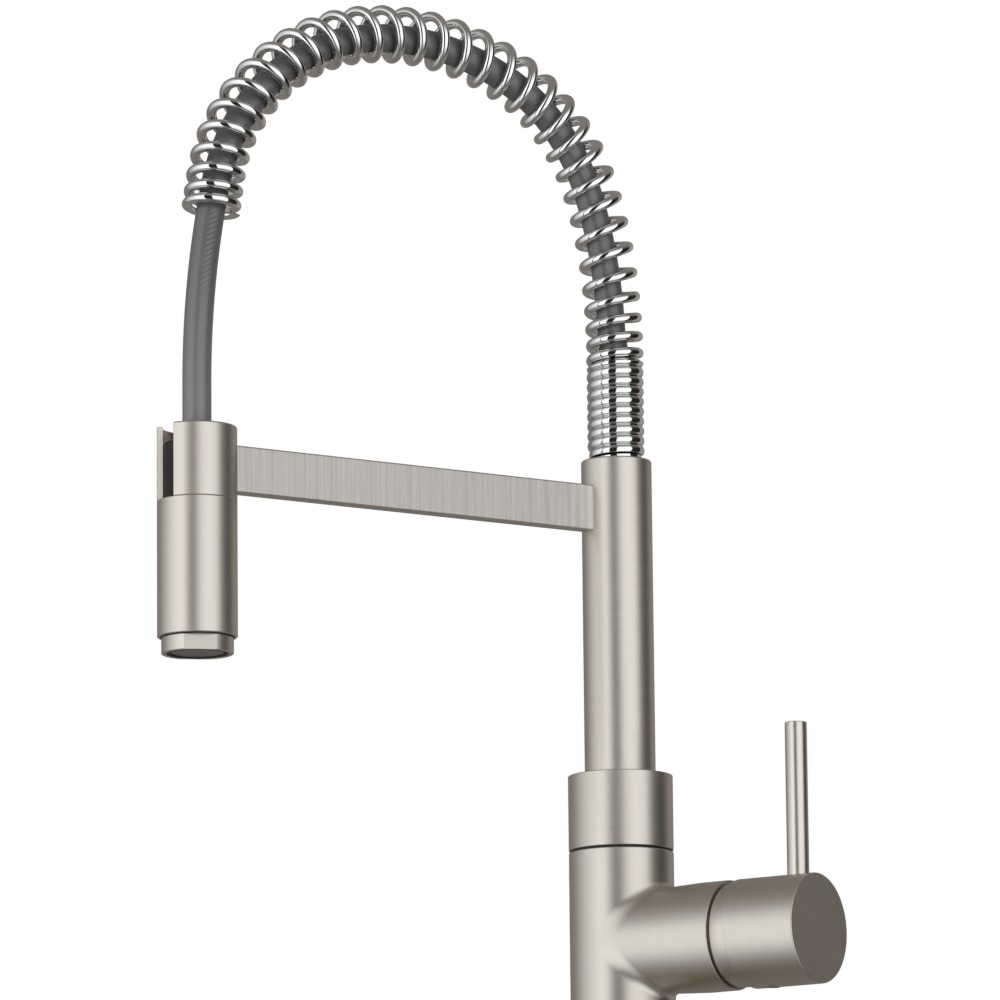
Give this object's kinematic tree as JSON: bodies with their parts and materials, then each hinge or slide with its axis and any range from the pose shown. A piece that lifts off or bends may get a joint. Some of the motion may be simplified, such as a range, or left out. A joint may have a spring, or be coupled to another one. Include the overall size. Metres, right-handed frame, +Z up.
{
  "type": "kitchen mixer tap",
  "caption": "Tall kitchen mixer tap: swivelling column with a coil-spring arch over the hose, a spray head docked on a side arm, and a side lever that mixes and meters the water.",
  "frame": {"origin": "centre of the base's underside, on the worktop, on the column axis", "axes": "+Z up along the column, -Y along the spout towards the spray head as pictured, +X to the user's right; the lever branch points 24.16 degrees from +X towards +Y"},
  "size_m": [0.1308, 0.308, 0.5521],
  "materials": {
    "brushed_nickel": "brushed",
    "chrome": "polished",
    "hose_grey": "satin",
    "black_plastic": "satin",
    "white_plastic": "moulded",
    "grey_plastic": "moulded",
    "ceramic": "lapped",
    "brass": "machined",
    "steel": "plated",
    "rubber": "matte"
  },
  "bodies": {
    "tap_body": {"base_ring": "brushed_nickel", "deck_seal": "rubber", "mounting_shank": "brass", "mixer_body": "brushed_nickel", "cartridge_body": "white_plastic", "fixed_disc": "ceramic", "cartridge_nut": "brass", "cartridge_dome": "brushed_nickel", "outlet_spigot": "brass", "spigot_seals": "rubber", "slip_ring": "black_plastic", "snap_ring": "steel"},
    "fixing_set": {"rubber_washer": "rubber", "clamp_washer": "steel", "fixing_nut": "brass"},
    "turret": {"stem_carrier": "white_plastic", "pivot_pin": "steel"},
    "mixing_disc": {"moving_disc": "ceramic", "disc_carrier": "white_plastic"},
    "handle": {"cartridge_stem": "brass", "handle_cap": "brushed_nickel", "lever_rod": "brushed_nickel", "stem_screw": "steel", "screw_cover": "grey_plastic"},
    "spout": {"swivel_collar": "brushed_nickel", "column": "brushed_nickel", "spring_guide": "chrome", "hose_connector": "brass", "connector_seal": "rubber", "spray_hose": "hose_grey", "support_spring": "chrome", "dock_arm": "brushed_nickel", "arm_column_screws": "steel", "arm_sleeve_screws": "steel", "dock_sleeve": "brushed_nickel"},
    "spray_head": {"spray_body": "brushed_nickel", "spray_neck": "black_plastic", "hose_tailpiece": "brass", "check_valve": "white_plastic", "waterway_sleeve": "white_plastic", "aerator_ring": "brushed_nickel", "aerator_seal": "rubber", "aerator_insert": "grey_plastic"}
  },
  "joints": [
    {"name": "fixing_nut_travel", "type": "slide", "parent": "tap_body", "child": "fixing_set", "axis": [0, 0, -1], "range_m": [-0.026, 0.018]},
    {"name": "temperature_turn", "type": "hinge", "parent": "tap_body", "child": "turret", "pos_m": [0.05918, 0.02655, 0.052], "axis": [0.9124, 0.4093, 0], "range_deg": [-45, 45]},
    {"name": "flow_tilt", "type": "hinge", "parent": "turret", "child": "handle", "pos_m": [0.05918, 0.02655, 0.052], "axis": [-0.4093, 0.9124, 0], "range_deg": [0, 18]},
    {"name": "disc_slide", "type": "slide", "parent": "turret", "child": "mixing_disc", "axis": [0, 0, 1], "range_m": [0, 0.0065]},
    {"name": "spout_swivel", "type": "hinge", "parent": "tap_body", "child": "spout", "pos_m": [0, 0, 0.0951], "axis": [0, 0, 1], "continuous": true},
    {"name": "spray_pull", "type": "slide", "parent": "spout", "child": "spray_head", "axis": [0, 0, -1], "range_m": [0, 0.05], "stiffness_N_per_m": 120, "springref_m": -0.06, "deforming": ["spray_hose", "support_spring"]}
  ],
  "couplings": [
    {"joint": "disc_slide", "follows": "flow_tilt", "m_per_rad": 0.01951}
  ]
}
